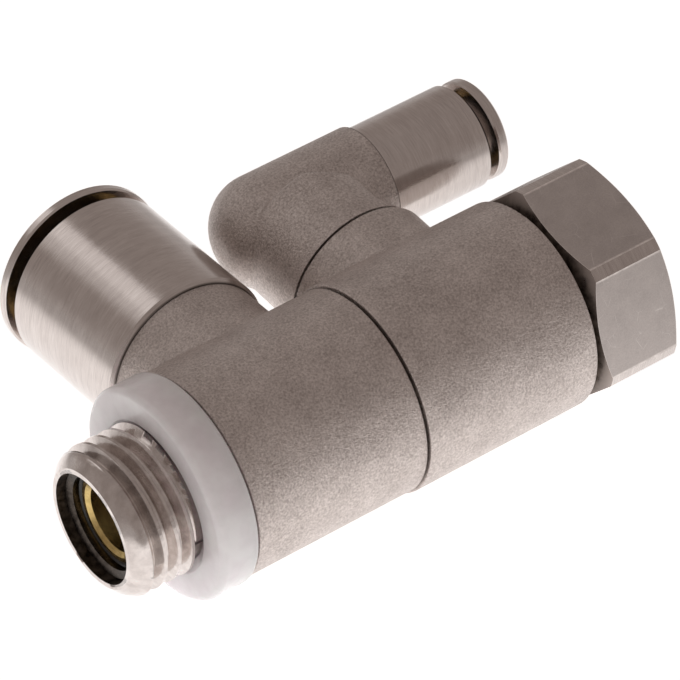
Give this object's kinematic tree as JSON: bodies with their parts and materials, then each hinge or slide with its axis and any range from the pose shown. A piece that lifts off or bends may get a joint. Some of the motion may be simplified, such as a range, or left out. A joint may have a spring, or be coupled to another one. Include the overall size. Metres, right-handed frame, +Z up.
{
  "type": "pilot-operated non-return valve",
  "caption": "Banjo pilot-operated non-return valve: threaded hollow screw with hexagon head, swivelling push-in tube port and a swivelling elbow pilot port.",
  "frame": {"origin": "centre of the face the tapped port seals against, on the thread axis (front face of the sealing washer)", "axes": "+X along the screw towards its hexagon head, +Y out of the main tube port, +Z up"},
  "size_m": [0.0546, 0.038, 0.0198],
  "materials": {
    "plated_brass": "nickel plated, brushed by turning",
    "plated_brass_cast": "nickel plated over a fine sand-blasted casting",
    "white_nylon": "milky, slightly translucent",
    "black_rubber": "smooth, slightly greased",
    "brass": "bright turned",
    "steel": "bright"
  },
  "bodies": {
    "screw": {"hollow_screw": "plated_brass", "sealing_washer": "white_nylon", "lower_front_seal": "black_rubber", "lower_rear_seal": "black_rubber", "upper_front_seal": "black_rubber", "upper_rear_seal": "black_rubber", "mouth_ring": "plated_brass", "mouth_seal": "black_rubber", "poppet_housing": "brass", "valve_seat": "brass", "guide_seal": "black_rubber", "poppet_spring": "steel", "piston_spring": "steel"},
    "lower_banjo": {"lower_banjo": "plated_brass_cast", "main_tube_seal": "black_rubber", "main_retainer": "brass"},
    "main_collar": {"main_collet": "plated_brass"},
    "upper_banjo": {"upper_banjo": "plated_brass_cast", "swivel_clip": "steel"},
    "elbow": {"pilot_elbow": "plated_brass_cast", "swivel_seal": "black_rubber", "pilot_tube_seal": "black_rubber", "pilot_retainer": "brass"},
    "pilot_collar": {"pilot_collet": "plated_brass"},
    "poppet": {"check_poppet": "brass", "poppet_seal": "black_rubber"},
    "piston": {"pilot_piston": "steel", "piston_seal": "black_rubber"}
  },
  "joints": [
    {"name": "lower_banjo_swivel", "type": "hinge", "parent": "screw", "child": "lower_banjo", "pos_m": [0.01195, 0, 0], "axis": [1, 0, 0], "continuous": true},
    {"name": "upper_banjo_swivel", "type": "hinge", "parent": "screw", "child": "upper_banjo", "pos_m": [0.029, 0, 0], "axis": [1, 0, 0], "continuous": true},
    {"name": "elbow_swivel", "type": "hinge", "parent": "upper_banjo", "child": "elbow", "pos_m": [0.029, 0.01091, 0.00097], "axis": [0, 0.996, 0.0889], "range_deg": [-100, 100]},
    {"name": "main_collar_press", "type": "slide", "parent": "lower_banjo", "child": "main_collar", "axis": [0, -1, 0], "range_m": [0, 0.0009]},
    {"name": "pilot_collar_press", "type": "slide", "parent": "elbow", "child": "pilot_collar", "axis": [-1, 0, 0], "range_m": [0, 0.0007]},
    {"name": "pilot_piston_travel", "type": "slide", "parent": "screw", "child": "piston", "axis": [-1, 0, 0], "range_m": [0, 0.0016], "stiffness_N_per_m": 300, "springref_m": -0.002, "deforming": ["piston_spring"]},
    {"name": "poppet_lift", "type": "slide", "parent": "screw", "child": "poppet", "axis": [-1, 0, 0], "range_m": [0, 0.0016], "stiffness_N_per_m": 150, "springref_m": -0.002, "deforming": ["poppet_spring"]}
  ],
  "couplings": [
    {"joint": "poppet_lift", "follows": "pilot_piston_travel", "ratio": 1}
  ]
}
